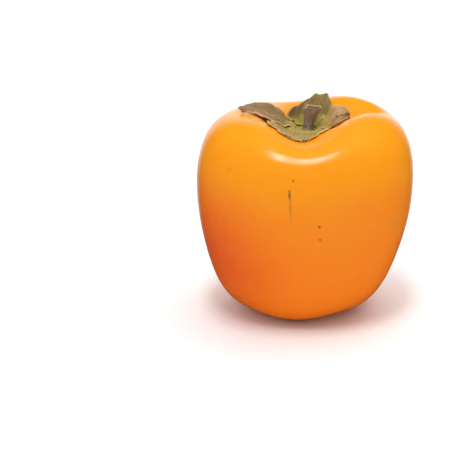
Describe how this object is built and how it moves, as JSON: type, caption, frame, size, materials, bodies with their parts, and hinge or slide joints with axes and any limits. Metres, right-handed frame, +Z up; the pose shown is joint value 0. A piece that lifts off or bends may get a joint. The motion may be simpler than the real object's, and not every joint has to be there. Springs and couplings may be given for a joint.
{
  "type": "persimmon fruit with calyx",
  "caption": "Whole ripe persimmon, heart-shaped with a dried leafy calyx and a short stem stub, standing on its blossom end.",
  "frame": {"origin": "on the resting plane, under the middle of the fruit", "axes": "+Z up along the fruit's axis to the calyx, +X to the fruit's right and -Y to its front, where the broad front calyx lobe lies"},
  "size_m": [0.074, 0.0738, 0.0735],
  "materials": {
    "skin": "gloss",
    "calyx_green": "matte",
    "calyx_dry": "matte",
    "stem": "matte",
    "dried_style": "matte"
  },
  "bodies": {
    "root": {"fruit": "skin", "calyx_disc": "calyx_green", "calyx_lobe_left": "calyx_dry", "calyx_lobe_back": "calyx_green", "calyx_lobe_right": "calyx_dry", "calyx_lobe_front": "calyx_green", "stem_stub": "stem", "style_remnant": "dried_style"}
  },
  "joints": []
}
